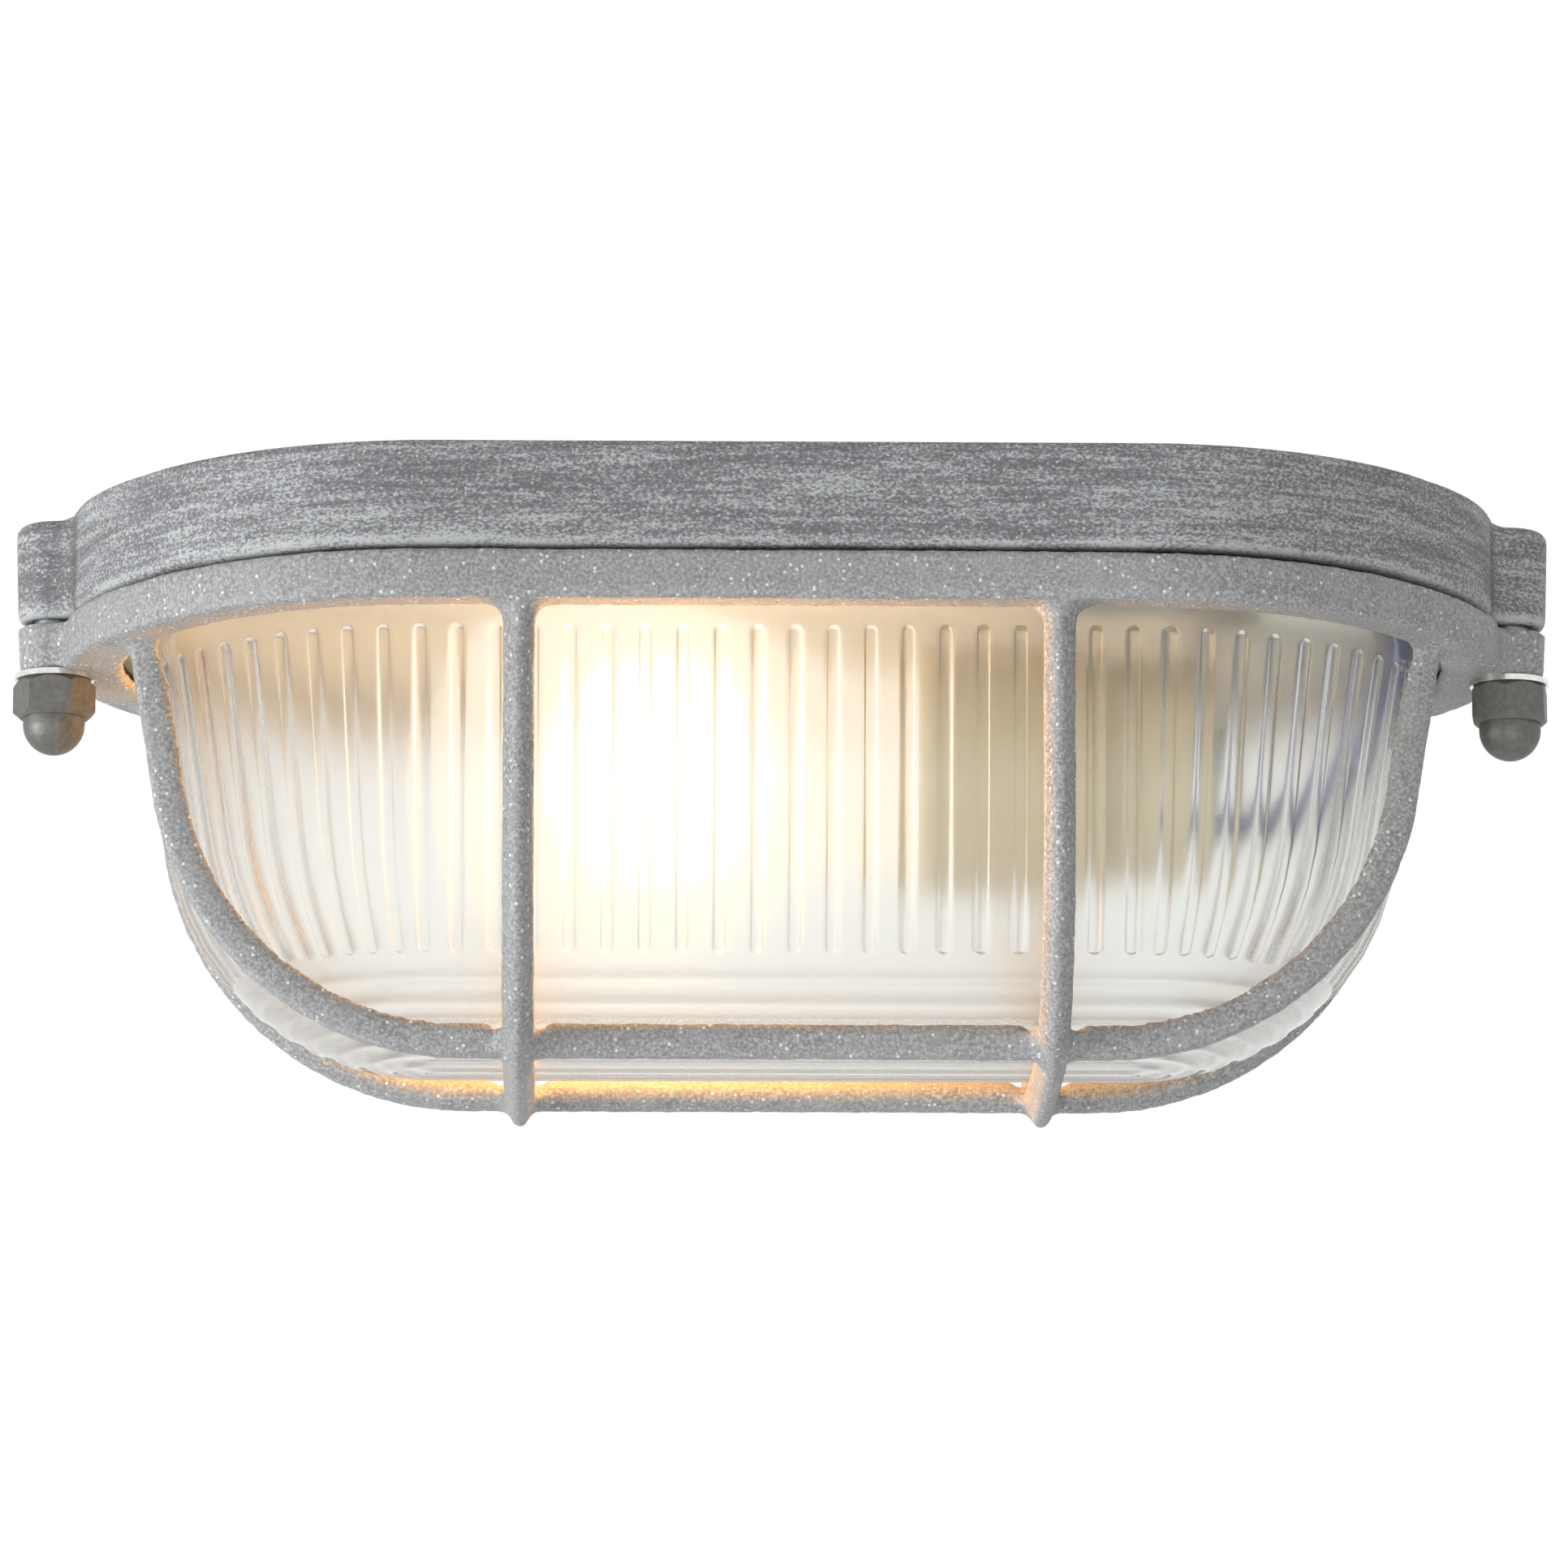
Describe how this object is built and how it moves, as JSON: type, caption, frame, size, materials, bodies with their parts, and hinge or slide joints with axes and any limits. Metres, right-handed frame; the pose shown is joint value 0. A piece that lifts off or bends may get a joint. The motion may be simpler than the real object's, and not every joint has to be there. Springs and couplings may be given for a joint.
{
  "type": "wall and ceiling light",
  "caption": "Oval wall and ceiling light with a cast base, a ribbed glass dome, a cast wire-form guard held by cap nuts on end lugs, and a bulb in a ceramic lampholder.",
  "frame": {"origin": "centre of the flat mounting face, which is the top of the lamp when it hangs from a ceiling", "axes": "+Z out of the mounting face into the ceiling or wall, so the lamp hangs towards -Z; +X along the oval, towards the lampholder; +Y away from the side that the picture shows"},
  "size_m": [0.2144, 0.102, 0.0819],
  "materials": {
    "base_paint": "matt grey paint with pale dry-brushed streaks on an aluminium casting",
    "cage_paint": "matt speckled grey paint on a rough aluminium casting",
    "gasket_rubber": "matt",
    "clear_glass": "clear pressed glass with ribs",
    "holder_ceramic": "glazed",
    "contact_brass": "plain",
    "plated_steel": "zinc plated",
    "bright_steel": "bright",
    "nut_steel": "dull plated",
    "lit_bulb": "frosted bulb, lit",
    "terminal_plastic": "matt",
    "wire_blue": "matt",
    "wire_brown": "matt",
    "wire_green": "matt"
  },
  "bodies": {
    "lamp": {"base_housing": "base_paint", "base_gasket": "gasket_rubber", "glass_gasket": "gasket_rubber", "cage": "cage_paint", "glass_dome": "clear_glass", "lampholder_body": "holder_ceramic", "lampholder_sleeve": "contact_brass", "centre_contact": "contact_brass", "lampholder_bracket": "plated_steel", "bracket_screws": "plated_steel", "lampholder_screws": "plated_steel", "bulb": "lit_bulb", "terminal_block": "terminal_plastic", "terminal_screws": "contact_brass", "blue_wire": "wire_blue", "brown_wire": "wire_brown", "earth_wire": "wire_green", "earth_terminal": "plated_steel", "earth_screw": "contact_brass", "cable_grommet": "gasket_rubber", "stud_left": "plated_steel", "stud_right": "plated_steel"},
    "washer_left": {"lock_washer_left": "bright_steel"},
    "nut_left": {"cap_nut_left": "nut_steel"},
    "washer_right": {"lock_washer_right": "bright_steel"},
    "nut_right": {"cap_nut_right": "nut_steel"}
  },
  "joints": [
    {"name": "nut_left_down", "type": "slide", "parent": "lamp", "child": "washer_left", "axis": [0, 0, -1], "range_m": [0, 0.0055]},
    {"name": "nut_left_turn", "type": "hinge", "parent": "washer_left", "child": "nut_left", "pos_m": [-0.1015, 0, -0.025], "axis": [0, 0, 1], "range_deg": [0, 1980]},
    {"name": "nut_right_down", "type": "slide", "parent": "lamp", "child": "washer_right", "axis": [0, 0, -1], "range_m": [0, 0.0055]},
    {"name": "nut_right_turn", "type": "hinge", "parent": "washer_right", "child": "nut_right", "pos_m": [0.1015, 0, -0.025], "axis": [0, 0, 1], "range_deg": [0, 1980]}
  ],
  "couplings": [
    {"joint": "nut_left_turn", "follows": "nut_left_down", "rad_per_m": 6283.2},
    {"joint": "nut_right_turn", "follows": "nut_right_down", "rad_per_m": 6283.2}
  ]
}
